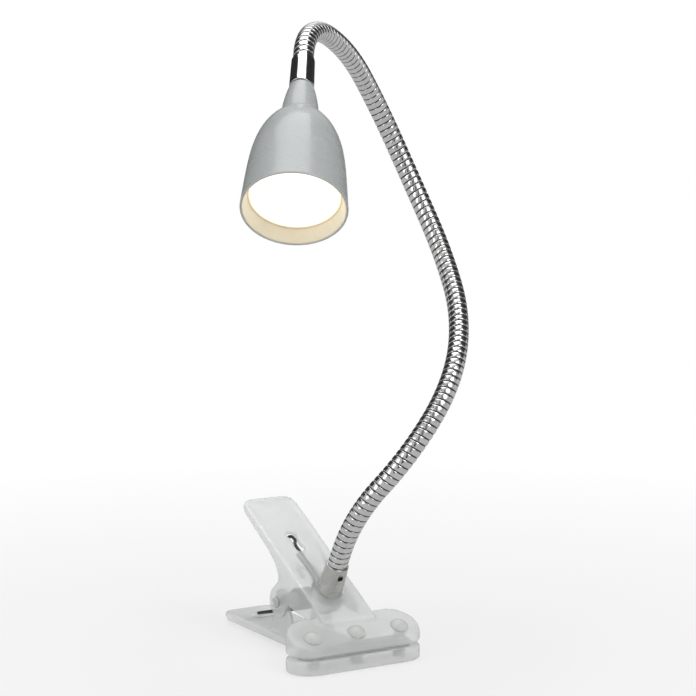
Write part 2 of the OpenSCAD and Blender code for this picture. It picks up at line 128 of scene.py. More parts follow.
def rounded(points, radii, steps=5, share=0.48):
    """A closed outline with its corners rounded, by at most a share of each side."""
    out, n = [], len(points)
    for i in range(n):
        a, b, c = (np.array(points[k % n], float) for k in (i - 1, i, i + 1))
        la, lc = np.linalg.norm(a - b), np.linalg.norm(c - b)
        d = min(radii[i], share * la, share * lc)
        if d <= 1e-6:
            out.append(tuple(b))
            continue
        p0, p1 = b + (a - b) / la * d, b + (c - b) / lc * d
        for k in range(steps + 1):
            t = k / steps
            out.append(tuple((1 - t) ** 2 * p0 + 2 * t * (1 - t) * b + t * t * p1))
    return out


def lathe(name, outline, place, segments=96, edge=None):
    """Revolves a closed outline of (radius, height) about z. edge(angle, height) may move it."""
    n = len(outline)
    verts, faces = [], []
    for k in range(segments):
        a = 2 * math.pi * k / segments
        for r, z in outline:
            verts.append((r * math.cos(a), r * math.sin(a), z + (edge(a, z) if edge else 0.0)))
    area = sum(r * z2 - r2 * z for (r, z), (r2, z2) in zip(outline, outline[1:] + outline[:1]))
    for k in range(segments):
        k2 = (k + 1) % segments
        for j in range(n):
            j2 = (j + 1) % n
            if outline[j][0] < 1e-6 and outline[j2][0] < 1e-6:
                continue
            f = (k * n + j, k2 * n + j, k2 * n + j2, k * n + j2)
            faces.append(f if area > 0 else f[::-1])
    return add_object(name, verts, faces, place)


def swept(path, radius, sides=14):
    """Vertices and faces of a round wire along a path, with domed ends."""
    p = np.asarray(path, float)
    t = np.gradient(p, axis=0)
    t /= np.linalg.norm(t, axis=1)[:, None]
    up = np.array([1.0, 0, 0]) if abs(t[0][0]) < 0.9 else np.array([0, 1.0, 0])
    rows = []
    for k in range(len(p)):
        up = up - t[k] * (up @ t[k])
        up /= np.linalg.norm(up)
        rows.append((p[k], up.copy(), np.cross(t[k], up), radius))
    # each end's dome: how far out a ring lies and how wide it is, in wire radii
    (c0, u0, w0, _), (c1, u1, w1, _) = rows[0], rows[-1]
    head = [(c0 + t[0] * d * radius, u0, w0, r * radius) for d, r in ((-0.85, 0.35), (-0.55, 0.8))]
    tail = [(c1 + t[-1] * d * radius, u1, w1, r * radius) for d, r in ((0.55, 0.8), (0.85, 0.35))]
    rings = head + rows + tail
    verts, faces = [], []
    for c, u, w, r in rings:
        for i in range(sides):
            a = 2 * math.pi * i / sides
            verts.append(tuple(c + (u * math.cos(a) + w * math.sin(a)) * r))
    for k in range(len(rings) - 1):
        for i in range(sides):
            j = (i + 1) % sides
            above = (k + 1) * sides
            faces.append((k * sides + i, k * sides + j, above + j, above + i))
    faces.append(tuple(range(sides))[::-1])
    faces.append(tuple((len(rings) - 1) * sides + i for i in range(sides)))
    return verts, faces


def joined(parts):
    """One list of vertices and one of faces from several."""
    verts, faces = [], []
    for v, f in parts:
        base = len(verts)
        verts.extend(v)
        faces.extend(tuple(i + base for i in face) for face in f)
    return verts, faces


def eased(points, radius, longest=3.2):
    """A polyline with its corners turned into arcs, and no long step between points."""
    out = [np.array(points[0], float)]
    for i in range(1, len(points) - 1):
        a, b, c = (np.array(points[i + k], float) for k in (-1, 0, 1))
        la, lc = np.linalg.norm(a - b), np.linalg.norm(c - b)
        d = min(radius, 0.45 * la, 0.45 * lc)
        p0, p1 = b + (a - b) / la * d, b + (c - b) / lc * d
        out.extend((1 - t) ** 2 * p0 + 2 * t * (1 - t) * b + t * t * p1
                   for t in np.linspace(0, 1, 7))
    out.append(np.array(points[-1], float))
    fine = [out[0]]
    for a, b in zip(out, out[1:]):
        n = max(1, int(np.linalg.norm(b - a) / longest))
        fine.extend(a + (b - a) * k / n for k in range(1, n + 1))
    return fine


def block(lo, hi, place=IDENTITY):
    """Corners and faces of a box, put in place, in millimetres."""
    m = np.array(place, float)
    c = np.array([[x, y, z] for z in (lo[2], hi[2]) for y in (lo[1], hi[1])
                  for x in (lo[0], hi[0])], float)
    c = c @ m[:3, :3].T + m[:3, 3]
    f = [(0, 2, 3, 1), (4, 5, 7, 6), (0, 1, 5, 4), (2, 6, 7, 3), (0, 4, 6, 2), (1, 3, 7, 5)]
    return [tuple(x) for x in c], f


def ring_of(r_in, r_out, h, place, sides=40):
    """A short tube, put in place, in millimetres."""
    m = np.array(place, float)
    v, f = [], []
    for i in range(sides):
        a = 2 * math.pi * i / sides
        for r, z in ((r_in, 0), (r_out, 0), (r_out, h), (r_in, h)):
            v.append((r * math.cos(a), r * math.sin(a), z))
    v = np.array(v) @ m[:3, :3].T + m[:3, 3]
    for i in range(sides):
        j = (i + 1) % sides
        for k in range(4):
            f.append((i * 4 + k, j * 4 + k, j * 4 + (k + 1) % 4, i * 4 + (k + 1) % 4))
    return [tuple(x) for x in v], f


def baked(ob):
    """The mesh of ob with its modifiers worked in."""
    bpy.context.view_layer.update()
    done = bpy.data.meshes.new_from_object(
        ob.evaluated_get(bpy.context.evaluated_depsgraph_get()))
    ob.modifiers.clear()
    return done


def moulded(name, node, extras, voxel, passes, soft):
    """The node's solid with more ribs and rims, its edges rounded as a moulding's are.

    soft(points) says how much of the smoothing each point gets, from 0 to 1.
    """
    source = nodes[node].data
    base = [tuple(v.co * 1000) for v in source.vertices]
    faces = [tuple(p.vertices) for p in source.polygons]
    verts, faces = joined([(base, faces)] + extras)
    ob = add_object(name, verts, faces)
    mod = ob.modifiers.new("fuse", "REMESH")
    mod.mode = "VOXEL"
    mod.voxel_size = voxel * 0.001
    mod.use_smooth_shade = True
    done = baked(ob)
    old = ob.data
    ob.data = done
    bpy.data.meshes.remove(old)
    done.name = name
    n = len(done.vertices)
    co = np.zeros(n * 3, np.float32)
    done.vertices.foreach_get("co", co)
    co = co.reshape(-1, 3).astype(float)
    edges = np.zeros(len(done.edges) * 2, np.int32)
    done.edges.foreach_get("vertices", edges)
    a, b = edges[0::2], edges[1::2]
    count = np.maximum(np.bincount(np.concatenate([a, b]), minlength=n), 1)
    much = soft(co * 1000)
    for k in range(passes):
        w = np.where(much >= (k + 1) / passes, 0.5, 0.0)
        mean = np.stack([(np.bincount(a, co[b, i], n) + np.bincount(b, co[a, i], n)) / count
                         for i in range(3)], 1)
        co += (mean - co) * w[:, None]
    done.vertices.foreach_set("co", co.astype(np.float32).ravel())
    done.update()
    done.shade_smooth()
    return ob


def carve(ob, cutter):
    """Takes the cutter's shape out of ob, and removes the cutter."""
    mod = ob.modifiers.new("cut", "BOOLEAN")
    mod.operation = "DIFFERENCE"
    mod.solver = "EXACT"
    mod.object = cutter
    ob.data = baked(ob)
    bpy.data.objects.remove(cutter)


# ---------------------------------------------------------------- material helpers
def new_material(name):
    """A material with one Principled shader: the material, its tree and the shader."""
    mat = bpy.data.materials.new(name)
    mat.use_nodes = True
    tree = mat.node_tree
    tree.nodes.clear()
    out = tree.nodes.new("ShaderNodeOutputMaterial")
    shader = tree.nodes.new("ShaderNodeBsdfPrincipled")
    tree.links.new(shader.outputs["BSDF"], out.inputs["Surface"])
    return mat, tree, shader


def noise(tree, scale, detail=4.0, rough=0.55, stretch=(1, 1, 1)):
    """Noise over the piece. scale is in features per metre."""
    where = tree.nodes.new("ShaderNodeTexCoord")
    fit = tree.nodes.new("ShaderNodeMapping")
    fit.inputs["Scale"].default_value = stretch
    tree.links.new(where.outputs["Object"], fit.inputs["Vector"])
    tex = tree.nodes.new("ShaderNodeTexNoise")
    tex.inputs["Scale"].default_value = scale
    tex.inputs["Detail"].default_value = detail
    tex.inputs["Roughness"].default_value = rough
    tree.links.new(fit.outputs["Vector"], tex.inputs["Vector"])
    return tex.outputs["Fac"]


def ramp(tree, value, stops):
    """Turns value into a colour. Each stop is (place, colour or grey)."""
    node = tree.nodes.new("ShaderNodeValToRGB")
    tree.links.new(value, node.inputs["Fac"])
    line = node.color_ramp
    while len(line.elements) > len(stops):
        line.elements.remove(line.elements[-1])
    while len(line.elements) < len(stops):
        line.elements.new(0.5)
    for e, (at, colour) in zip(line.elements, stops):
        e.position = at
        e.color = (*colour, 1) if isinstance(colour, tuple) else (colour, colour, colour, 1)
    return node.outputs["Color"]


def spread(tree, value, low, high, lo=0.0, hi=1.0):
    """Takes value from the range lo to hi into low to high."""
    node = tree.nodes.new("ShaderNodeMapRange")
    tree.links.new(value, node.inputs["Value"])
    for key, v in (("From Min", lo), ("From Max", hi), ("To Min", low), ("To Max", high)):
        node.inputs[key].default_value = v
    return node.outputs["Result"]


def attribute(tree, name):
    """What the mesh says at each point under this name."""
    node = tree.nodes.new("ShaderNodeAttribute")
    node.attribute_name = name
    return node.outputs["Fac"]


def mixed(tree, amount, under, over):
    """under at amount 0, over at amount 1. over is another socket, or a colour."""
    node = tree.nodes.new("ShaderNodeMix")
    node.data_type = "RGBA"
    tree.links.new(amount, node.inputs[0])
    tree.links.new(under, node.inputs[6])
    if isinstance(over, tuple):
        node.inputs[7].default_value = (*over, 1)
    else:
        tree.links.new(over, node.inputs[7])
    return node.outputs[2]


def bump(tree, shader, height, distance, strength, below=None):
    """Presses a height into the shader's surface, over the bump below if there is one."""
    node = tree.nodes.new("ShaderNodeBump")
    node.inputs["Distance"].default_value = distance
    node.inputs["Strength"].default_value = strength
    tree.links.new(height, node.inputs["Height"])
    if below is not None:
        tree.links.new(below, node.inputs["Normal"])
    tree.links.new(node.outputs["Normal"], shader.inputs["Normal"])
    return node.outputs["Normal"]


def frosted(name, pale, milky, body, rough, cloud=90.0):
    """Milky, clear plastic: cloudy, see-through by 1 - body, with a fine matt skin."""
    mat, tree, s = new_material(name)
    colour = ramp(tree, noise(tree, cloud, 5.0, 0.6), ((0.3, milky), (0.7, pale)))
    tree.links.new(colour, s.inputs["Base Color"])
    matt = spread(tree, noise(tree, 420.0), rough - 0.04, rough + 0.06, 0.3, 0.7)
    tree.links.new(matt, s.inputs["Roughness"])
    first = bump(tree, s, noise(tree, 90.0, 1.0), 0.0001, 0.16)
    bump(tree, s, noise(tree, 1800.0, 2.0), 0.000008, 0.3, first)
    s.inputs["Alpha"].default_value = body
    s.inputs["Subsurface Weight"].default_value = 0.5
    s.inputs["Subsurface Radius"].default_value = (1.0, 1.0, 1.0)
    s.inputs["Subsurface Scale"].default_value = 0.004
    s.inputs["Specular IOR Level"].default_value = 0.6
    return mat


def metal(name, bright, dark, rough, grain, scratch=None, deep=0.00002, groove_shade=False):
    """Metal with a changing polish and a fine grain, or scratches of (scale, stretch).

    With groove it paints shade, near black, into the colour where the mesh's own groove attribute
    says so.
    """
    mat, tree, s = new_material(name)
    s.inputs["Metallic"].default_value = 1.0
    colour = ramp(tree, noise(tree, grain), ((0.3, dark), (0.65, bright)))
    if groove_shade:
        # painted shade: the strip's grooves darkened to near black
        colour = mixed(tree, attribute(tree, "groove_shade"), colour, (0.03, 0.03, 0.032))
    tree.links.new(colour, s.inputs["Base Color"])
    polish = spread(tree, noise(tree, grain * 1.7, 3.0), rough * 0.75, rough * 1.35, 0.3, 0.7)
    tree.links.new(polish, s.inputs["Roughness"])
    if scratch:
        bump(tree, s, noise(tree, scratch[0], 3.0, 0.6, scratch[1]), deep, 0.6)
    else:
        bump(tree, s, noise(tree, 1500.0, 3.0), deep, 0.4)
    return mat


def plastic(name, light, dark, rough, scale, peel=900.0, deep=0.00002, coat=0.0, soft=0.0):
    """Moulded or painted plastic with a faint orange peel."""
    mat, tree, s = new_material(name)
    colour = ramp(tree, noise(tree, scale, 5.0, 0.6), ((0.3, dark), (0.7, light)))
    tree.links.new(colour, s.inputs["Base Color"])
    tree.links.new(spread(tree, noise(tree, scale * 6), rough - 0.05, rough + 0.07, 0.3, 0.7),
                   s.inputs["Roughness"])
    bump(tree, s, noise(tree, peel, 2.0), deep, 0.5)
    s.inputs["Coat Weight"].default_value = coat
    s.inputs["Coat Roughness"].default_value = 0.12
    if soft:
        s.inputs["Subsurface Weight"].default_value = soft
        s.inputs["Subsurface Radius"].default_value = (1.0, 0.9, 0.8)
        s.inputs["Subsurface Scale"].default_value = 0.003
    return mat


def lit(name, low, high, strength, scale=45.0, edge=None):
    """An opal sheet with light behind it, a little brighter in places and warmer at its edge."""
    mat, tree, s = new_material(name)
    colour = ramp(tree, noise(tree, scale, 3.0), ((0.25, low), (0.75, high)))
    if edge:
        colour = mixed(tree, attribute(tree, "edge"), colour, edge)
    tree.links.new(colour, s.inputs["Base Color"])
    tree.links.new(colour, s.inputs["Emission Color"])
    s.inputs["Emission Strength"].default_value = strength
    tree.links.new(spread(tree, noise(tree, 500.0), 0.35, 0.5, 0.3, 0.7), s.inputs["Roughness"])
    bump(tree, s, noise(tree, 2500.0, 2.0), 0.00002, 0.4)
    return mat


M_CLAMP = frosted("frosted_clamp", (0.86, 0.87, 0.865), (0.80, 0.815, 0.813), 0.45, 0.14, 60.0)
M_CAPS = frosted("frosted_caps", (0.82, 0.84, 0.83), (0.74, 0.76, 0.755), 0.70, 0.38)
M_PAD = frosted("silicone_pad", (0.84, 0.845, 0.82), (0.77, 0.78, 0.755), 0.85, 0.34)
M_DOME = frosted("silicone_plugs", (0.85, 0.86, 0.84), (0.80, 0.81, 0.79), 0.50, 0.09)
# the hose's chrome, with painted shade in its grooves
M_CHROME = metal("strip_chrome", (0.90, 0.90, 0.895), (0.78, 0.78, 0.775), 0.13, 220.0,
                 deep=0.00001, groove_shade=True)
M_FERRULE = metal("ferrule_chrome", (0.80, 0.80, 0.80), (0.70, 0.70, 0.705), 0.09, 120.0,
                  deep=0.000006)
M_NICKEL = metal("satin_nickel", (0.70, 0.695, 0.67), (0.62, 0.615, 0.595), 0.27, 90.0,
                 deep=0.000004)
M_ZINC = metal("zinc_steel", (0.62, 0.63, 0.65), (0.45, 0.46, 0.48), 0.34, 260.0, deep=0.00004)
M_CORE = metal("core_steel", (0.52, 0.52, 0.53), (0.38, 0.38, 0.39), 0.42, 240.0, deep=0.00004)
M_SPRING = metal("spring_steel", (0.13, 0.13, 0.135), (0.05, 0.05, 0.052), 0.36, 340.0,
                 deep=0.00003)
M_SCREW = metal("black_screw", (0.07, 0.07, 0.072), (0.02, 0.02, 0.02), 0.4, 500.0, deep=0.00002)
M_SINK = metal("sink_aluminium", (0.78, 0.79, 0.80), (0.64, 0.65, 0.66), 0.38, 200.0,
               (300.0, (1, 14, 1)))
M_SHADE = plastic("shade_grey", (0.505, 0.53, 0.528), (0.492, 0.517, 0.515), 0.27, 24.0, 520.0,
                  0.000006, 0.25)
# the cup is white; its cream tint is painted warm light from the lens
M_CUP_PAINTED_WARM_LIGHT = plastic("cup_white_painted_warm_light", (0.80, 0.735, 0.59), (0.76, 0.69, 0.54), 0.38, 50.0, 700.0, 0.00002,
                0.1)
M_BUSH = plastic("bush_nylon", (0.86, 0.86, 0.83), (0.74, 0.74, 0.71), 0.42, 120.0, soft=0.3)
M_RUBBER = plastic("grommet_rubber", (0.05, 0.05, 0.052), (0.02, 0.02, 0.02), 0.62, 260.0, 1600.0,
                   0.00006)
M_SHEATH = plastic("lead_sheath", (0.82, 0.80, 0.74), (0.70, 0.68, 0.62), 0.48, 200.0, soft=0.2)
M_BOARD = plastic("board_white", (0.88, 0.87, 0.84), (0.78, 0.77, 0.74), 0.4, 300.0)
M_CHIP = lit("led_emitter", (1.0, 0.72, 0.30), (1.0, 0.82, 0.45), 2.0, 900.0)
M_OPAL = lit("diffuser_opal", (1.0, 0.965, 0.87), (1.0, 0.985, 0.93), 1.04, edge=(0.92, 0.80, 0.58))

# ---------------------------------------------------------------- the strip-wound hose
COLUMNS = 40  # points round the hose
# the strip's section: place in the pitch, height over the hose's radius, how much painted shade
# darkens it in the groove
BAND = ((0.0, -0.50, 1.0), (0.05, -0.48, 1.0), (0.10, -0.30, 0.85), (0.135, -0.12, 0.35),
        (0.18, -0.05, 0.0), (0.32, -0.01, 0.0), (0.52, 0.0, 0.0), (0.72, -0.02, 0.0),
        (0.86, -0.07, 0.0), (0.93, -0.15, 0.25), (0.97, -0.34, 0.8))
S_START, S_END = 8.0, JOINT_W + LINK * len(BENDS) + CAP_Z + 5.0

# frames every half millimetre, to look up between
table_s = np.arange(0.0, S_END + 2.0, 0.5)
table_m = np.array([np.array(neck_frame(s)) for s in table_s])


def at_neck(s, out, angle):
    """Points at s along the hose, out from its middle, at an angle round it."""
    def comp(i, j):
        return np.interp(s, table_s, table_m[:, i, j])
    x, y = out * np.cos(angle), out * np.sin(angle)
    return np.stack([comp(i, 0) * x + comp(i, 1) * y + comp(i, 3) for i in range(3)], 1)


n_band = len(BAND)
total = int((S_END - S_START) / PITCH * COLUMNS)
col = np.repeat(np.arange(total), n_band)
row = np.tile(np.arange(n_band), total)
u = np.array([p[0] for p in BAND])[row]
s_all = S_START + PITCH * (col / COLUMNS + u)
r_all = HOSE_R - 0.02 + np.array([p[1] for p in BAND])[row]
hose_v = at_neck(s_all, r_all, 2 * np.pi * col / COLUMNS)
# painted shade for the grooves, one value a point
groove_shade_v = np.array([p[2] for p in BAND])[row]

c0 = np.arange(total - COLUMNS - 1)
quads, quad_col = [], []
for j in range(n_band):
    here, beside = c0 * n_band + j, (c0 + 1) * n_band + j
    if j < n_band - 1:
        ends = [beside + 1, here + 1]
    else:  # on to the next winding
        ends = [(c0 + COLUMNS + 1) * n_band, (c0 + COLUMNS) * n_band]
    quads.append(np.stack([here, beside] + ends, 1))
    quad_col.append(c0)
quads, quad_col = np.concatenate(quads), np.concatenate(quad_col)
starts = S_START + PITCH * quad_col / COLUMNS
cuts = [JOINT_W + LINK * (k - 0.5) for k in range(1, len(BENDS))]
part_of = np.searchsorted(cuts, starts)
for k in range(1, len(BENDS) + 1):
    mine = quads[part_of == k - 1]
    used, index = np.unique(mine, return_inverse=True)
    ob = add_object(f"hose_{k}", hose_v[used], index.reshape(-1, 4).tolist())
    # the painted groove shade goes on the mesh as a point attribute
    groove_shade = ob.data.attributes.new("groove_shade", "FLOAT", "POINT")
    groove_shade.data.foreach_set("value", groove_shade_v[used].astype(np.float32))
    ob.data.materials.append(M_CHROME)
    # the pivot at this link's start
    pivot = neck_frame(JOINT_W + LINK * (k - 1) + 1e-6)
    here = pivot.translation
    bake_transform(ob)
    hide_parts(f"neck_hose_{k}", *(["neck_hose_0"] if k == 1 else []))

# ---------------------------------------------------------------- ferrules
foot = lathe("foot_ferrule", rounded([
    (3.0, -11.7), (4.6, -11.7), (4.6, -0.6), (6.9, -0.6), (7.0, 0.4), (6.12, 16.6),
    (6.05, FERRULE_H), (5.45, FERRULE_H), (5.45, 5.0), (3.0, 5.0)],
    [0.2, 0.4, 0, 0.4, 0.5, 0.5, 0.35, 0.15, 0.3, 0.2]), LEVER)
screw_hole = LEVER @ shift(0, 0, 12) @ turn(90, "X")
carve(foot, add_object("cutter", *ring_of(0.001, 1.55, 12.0, IDENTITY, 32), screw_hole))
foot.data.materials.clear()
foot.data.materials.append(M_NICKEL)
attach(foot, "upper_clamp")
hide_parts("base_ferrule")


def scallop(a, z):
    """The cap's wavy lip: three low waves over its last 2.1 mm."""
    top = CAP_Z + CAP_LEN - 1.5
    return 0.5 * math.cos(3 * a + 0.6) * (z - top) / 2.1 if z > top else 0.0


cap = lathe("head_cap", rounded([(r, CAP_Z + z) for r, z in (
    (5.45, 0.0), (6.02, 0.0), (6.1, 4.0), (6.35, 17.6), (6.35, 18.6), (5.5, 18.6), (5.45, 17.9),
    (5.42, 17.0), (3.15, 17.0), (3.15, 6.0), (5.45, 6.0))],
    [0.1, 0.3, 0.5, 0.5, 0.2, 0.1, 0.1, 0.05, 0.2, 0.2, 0.2], 4), HEAD, 120, scallop)
cap.data.materials.append(M_FERRULE)
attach(cap, "head")
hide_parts("head_ferrule")

# ---------------------------------------------------------------- the shade
collar_at = CAP_Z + CAP_LEN
collar_out = [(5.36, 0.0), (5.38, 1.15), (6.12, 1.3), (6.55, 2.7), (7.10, 4.6), (7.80, 7.7),
              (8.42, 11.0), (8.92, 14.2), (9.28, 17.4), (9.5, 20.0), (9.58, 21.4)]
given, fine = range(len(collar_out)), np.linspace(0, len(collar_out) - 1, 28)
collar_out = [tuple(float(np.interp(t, given, [p[i] for p in collar_out])) for i in (0, 1))
              for t in fine]
collar_in = [(7.2, 21.5), (6.4, 16.5), (5.6, 11.8), (BORE_R, 10.2), (BORE_R, 0.0)]
collar = lathe("collar", [(r, z + collar_at) for r, z in collar_out + collar_in], HEAD, 120)
collar.data.materials.append(M_SHADE)
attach(collar, "head")
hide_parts("shade_collar")

BELL_WALL = 1.4
rim_r = bell_r(RIM_Z)
ledge = BELL_Z + 2.4
outer = [(bell_r(BELL_Z) - 0.35, BELL_Z), (bell_r(BELL_Z) - 0.1, BELL_Z + 0.12)]
outer += [(bell_r(z), z) for z in (BELL_Z + BELL_LEN * (0.012 + 0.973 * (i / 44) ** 1.3)
                                   for i in range(45))]
# the rim's rounding: how far in and how far back from it
outer += [(rim_r - a, RIM_Z - b) for a, b in (
    (0.03, 0.5), (0.1, 0.15), (0.3, 0), (0.5, 0.02), (0.65, 0.2), (0.72, 0.8))]
inner = [(bell_r(z) - BELL_WALL, z) for z in (BELL_Z + BELL_LEN * (1 - i / 24)
                                              for i in range(1, 23))]
inner += [(bell_r(ledge) - 1.6, ledge), (BORE_R, ledge), (BORE_R, BELL_Z)]
bell = lathe("bell", outer + inner, HEAD, 144)
bell.data.materials.append(M_SHADE)
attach(bell, "head")
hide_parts("shade")

# the cup with its soft step, and the diffuser in it
cup_z = BOARD_Z + 1.6
cup_top = RIM_Z - 0.8
foot_r = bell_r(cup_z) - 1.7
mouth_r = bell_r(cup_top) - 1.65
step_r = foot_r + (mouth_r - foot_r) * (LENS_Z - cup_z) / (cup_top - cup_z)
cup = lathe("light_cup", rounded([
    (foot_r - 3, cup_z), (foot_r, cup_z), (bell_r(RIM_Z - 2.8) - 1.5, RIM_Z - 2.8),
    (rim_r - 0.85, RIM_Z - 0.6), (rim_r - 0.8, RIM_Z - 0.3), (rim_r - 1.4, RIM_Z - 0.35),
    (step_r - 1.0, LENS_Z + 0.4), (step_r - 1.6, LENS_Z + 0.05), (step_r - 1.7, LENS_Z - 1.8),
    (step_r - 2.5, LENS_Z - 1.9), (step_r - 2.5, LENS_Z - 2.8), (foot_r - 2, cup_z + 1),
    (foot_r - 3, cup_z + 1)],
    [0.2, 0.3, 0.3, 0.2, 0.1, 0.3, 0.9, 0.3, 0.1, 0.2, 0.2, 0.3, 0.2]), HEAD, 144)
cup.data.materials.append(M_CUP_PAINTED_WARM_LIGHT)
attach(cup, "head")
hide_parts("reflector")

lens_r = step_r - 1.85
LENS_DOME = 0.25
GLOW_EDGE = 0.86  # from this share of its radius on, the diffuser turns warmer
lens_out = [(lens_r * t, LENS_Z + LENS_DOME * (1 - t * t))
            for t in (0.0, 0.15, 0.3, 0.45, 0.6, 0.75, GLOW_EDGE, 0.9, 0.94, 0.97)]
lens_out += [(lens_r - 0.15, LENS_Z - 0.05), (lens_r, LENS_Z - 0.3), (lens_r, LENS_Z - 1.6),
             (lens_r - 0.2, LENS_Z - 1.8), (0.0, LENS_Z - 1.8)]
lens = lathe("opal_lens", lens_out, HEAD, 120)
lens.data.materials.append(M_OPAL)
edge = lens.data.attributes.new("edge", "FLOAT", "POINT")
back_to_head = HEAD.inverted()
off_axis = [(back_to_head @ (v.co * 1000)).to_2d().length / lens_r for v in lens.data.vertices]
edge.data.foreach_set("value", [
    min(1.0, max(0.0, (t - GLOW_EDGE) / (1 - GLOW_EDGE))) ** 1.5 for t in off_axis])
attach(lens, "head")
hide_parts("diffuser")

# ---------------------------------------------------------------- the clamp's two mouldings
def clamp_softness(co):
    """How far a point's edges are rounded: most on the bars, least where parts fit."""
    on_bar = np.clip((12.5 - np.abs(co[:, 1])) / 3.0, 0, 1) * np.clip((26.5 - co[:, 2]) / 3.0, 0, 1)
    inside = ((np.abs(co[:, 0]) < 34) & (np.abs(co[:, 1]) < 8.4)
              & (co[:, 2] > 4.5) & (co[:, 2] < 12.5))
    much = 0.30 + 0.70 * on_bar
    much[inside] = 0.12
    return much


upper_extras = []
for sx in (-1, 1):
    # guides beside the spring's legs
    upper_extras.append(block((sx * 5.2 - 0.9, 17, -7.6), (sx * 5.2 + 0.9, 26, -2.5), LEVER))
    # thickened edge along the lever
    upper_extras.append(block((sx * 14.8 - 1.2, 14, -0.6), (sx * 14.8 + 1.2, 72, 0.35), LEVER))
upper_extras += [
    block((-5.6, 24.6, -7.0), (5.6, 26, -5.2), LEVER),  # bridge over the legs
    block((-11, 76.6, -4.0), (11, 78.2, -0.5), LEVER),  # rib under the lever's end
    ring_of(1.3, 2.5, 3.4, LEVER @ shift(-1.2, 62.5, -4.2))]  # ring under the lever
upper = moulded("upper_moulding", "upper_jaw", upper_extras, 0.5, 40, clamp_softness)
upper.data.materials.append(M_CLAMP)
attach(upper, "upper_clamp")
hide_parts("upper_jaw")

pad = moulded("upper_pad_soft", "upper_pad", [], 0.35, 14, lambda co: np.ones(len(co)))
pad.data.materials.append(M_DOME)
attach(pad, "upper_clamp")
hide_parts("upper_pad")

# two ribs across the lower lever and one along it
lower_extras = [block((-12.5, 66, 2.6), (12.5, 67.4, 4.4)),
                block((-12.5, 30, 2.6), (12.5, 31.4, 4.4)),
                block((-0.7, 12, 2.6), (0.7, 90, 4.2))]
lower = moulded("lower_moulding", "lower_jaw", lower_extras, 0.5, 40, clamp_softness)
lower.data.materials.append(M_CLAMP)
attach(lower, "lower_clamp")
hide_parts("lower_jaw")

# ---------------------------------------------------------------- hinge caps and spring
cap_outline = rounded([(0.0, 0.7), (2.0, 0.7), (2.0, 0.0), (3.0, 0.0), (3.0, 1.1), (1.5, 1.5),
                       (0.0, 1.5)], [0, 0, 0, 0.2, 0.4, 0.5, 0])
parts = []
for sx in (-1, 1):
    base = shift(HINGE[0] + sx * (LEVER_W / 2 + 0.1), HINGE[1], HINGE[2]) @ turn(90 * sx, "Y")
    one = lathe("cap_half", cap_outline, base, 48)
    v = [tuple(x.co * 1000) for x in one.data.vertices]
    f = [tuple(p.vertices) for p in one.data.polygons]
    parts.append((v, f))
    bpy.data.objects.remove(one)
caps = add_object("hinge_caps", *joined(parts))
caps.data.materials.append(M_CAPS)
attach(caps, "lower_clamp")
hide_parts("pin_caps")

LEG_X = WIRE_R + 0.15
COIL_PITCH = 1.65
COIL_END = LEG_X + 2 * COIL_PITCH
SLOT_Y = 96.5
END_Z = 6.4 + WIRE_R + 0.4
reach = (SLOT_Y - HINGE[1], END_Z - HINGE[2])
tangent = math.atan2(reach[1], reach[0]) - math.acos(COIL_R / math.hypot(*reach))
# one half's coil from the middle of the hinge out, then down to the slot, across and back
COIL_STEPS, COIL_TURNS = 36, 3
half = []
for k in range(COIL_STEPS * COIL_TURNS, -1, -1):
    a = tangent + 2 * math.pi * k / COIL_STEPS
    x = LEG_X - 0.1 + (COIL_END + 0.2 - LEG_X) * (1 - k / (COIL_STEPS * COIL_TURNS))
    half.append((x, HINGE[1] + COIL_R * math.cos(a), HINGE[2] + COIL_R * math.sin(a)))
mirrored = [(-x, y, z) for x, y, z in half]
hook = [(sx * (COIL_END + 0.1), SLOT_Y - 0.3, END_Z) for sx in (1, -1)]
leg = [tuple(p) for p in eased([half[-1], *hook, mirrored[-1]], 2.0)]
spring = add_object("torsion_spring", *swept(half[:-1] + leg + mirrored[::-1][1:], WIRE_R))
spring.data.materials.append(M_SPRING)
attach(spring, "lower_clamp")
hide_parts("spring_coil")

# the hinge in the upper lever's own directions, along it and across it
slope = math.radians(LEVER_ANGLE)
dy, dz = HINGE[1] - FOOT[1], HINGE[2] - FOOT[2]
hinge_u = dy * math.cos(slope) + dz * math.sin(slope)
hinge_w = dz * math.cos(slope) - dy * math.sin(slope)
front_u = hinge_u - COIL_R - 2 * WIRE_R - 0.3
parts = []
for sx in (-1, 1):
    x = sx * (WIRE_R + 0.4)
    bent = [(x, front_u + 0.5, hinge_w + 1.0), (x, front_u, hinge_w + 4.0), (x, front_u, -4.0),
            (x, 33.5, -4.0)]
    if sx > 0:  # this leg's end is the S that shows in the slot
        bent += [(-0.9, 36.5, -1.7), (-0.9, 39.8, -1.5), (0.95, 42.6, -1.5), (0.95, 46.2, -1.6),
                 (0.4, 48.6, -3.9)]
    parts.append(swept(eased(bent, 2.4), WIRE_R))
legs = add_object("spring_upper_legs", *joined(parts), LEVER)
legs.data.materials.append(M_SPRING)
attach(legs, "upper_clamp")
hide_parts("spring_leg")

